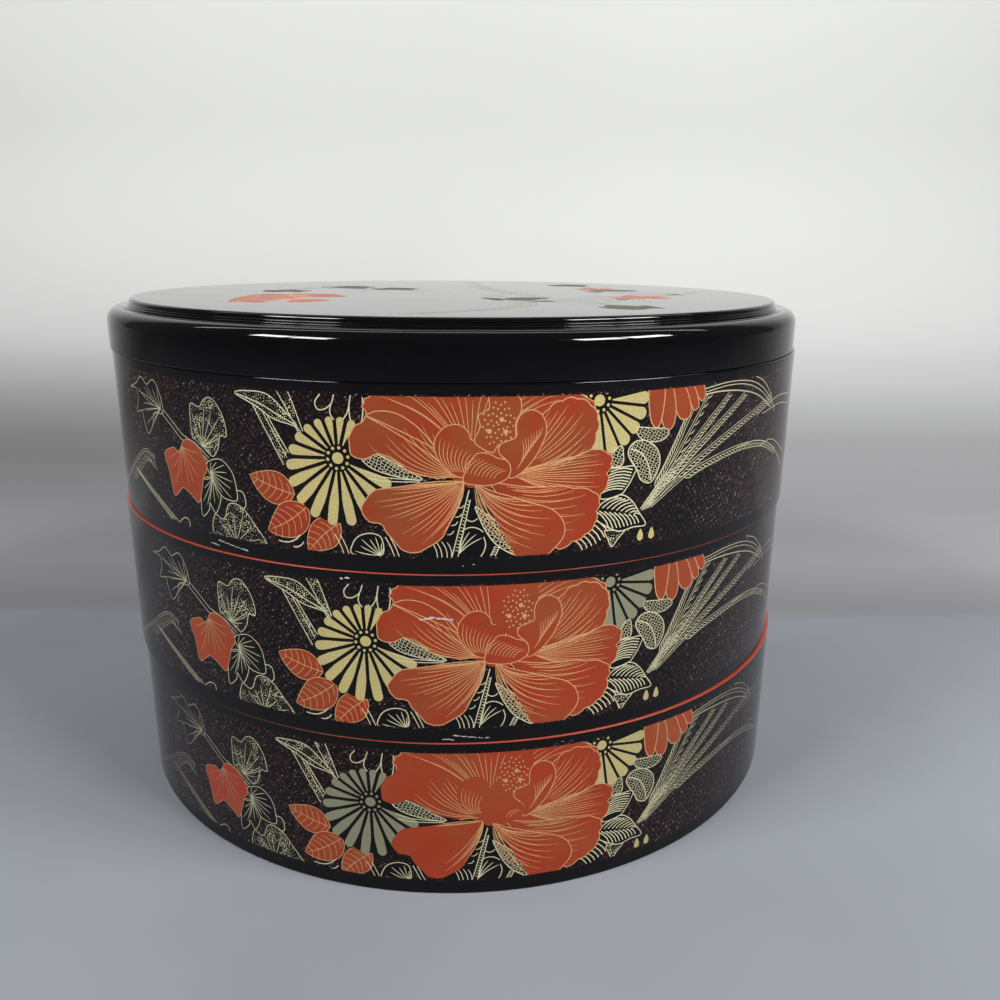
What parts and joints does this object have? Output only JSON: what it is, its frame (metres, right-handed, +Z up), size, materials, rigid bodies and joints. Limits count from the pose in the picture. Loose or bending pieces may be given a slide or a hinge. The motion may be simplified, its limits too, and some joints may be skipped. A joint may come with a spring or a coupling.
{
  "type": "tiered lacquer box",
  "caption": "Round tiered box of black lacquer with a lift-off lid, red inside, its walls printed with flowers and leaves.",
  "frame": {"origin": "on the surface that the box stands on, under the middle of the stack", "axes": "+Z up along the axis of the drums, -Y towards the viewer of the picture's front, +X to that viewer's right"},
  "size_m": [0.231, 0.23, 0.1588],
  "materials": {
    "black_lacquer": "black lacquer, high gloss",
    "red_lacquer": "red lacquer, gloss"
  },
  "bodies": {
    "root": {"bottom_tier": "black_lacquer", "middle_tier": "black_lacquer", "top_tier": "black_lacquer", "lid": "black_lacquer"}
  },
  "joints": []
}
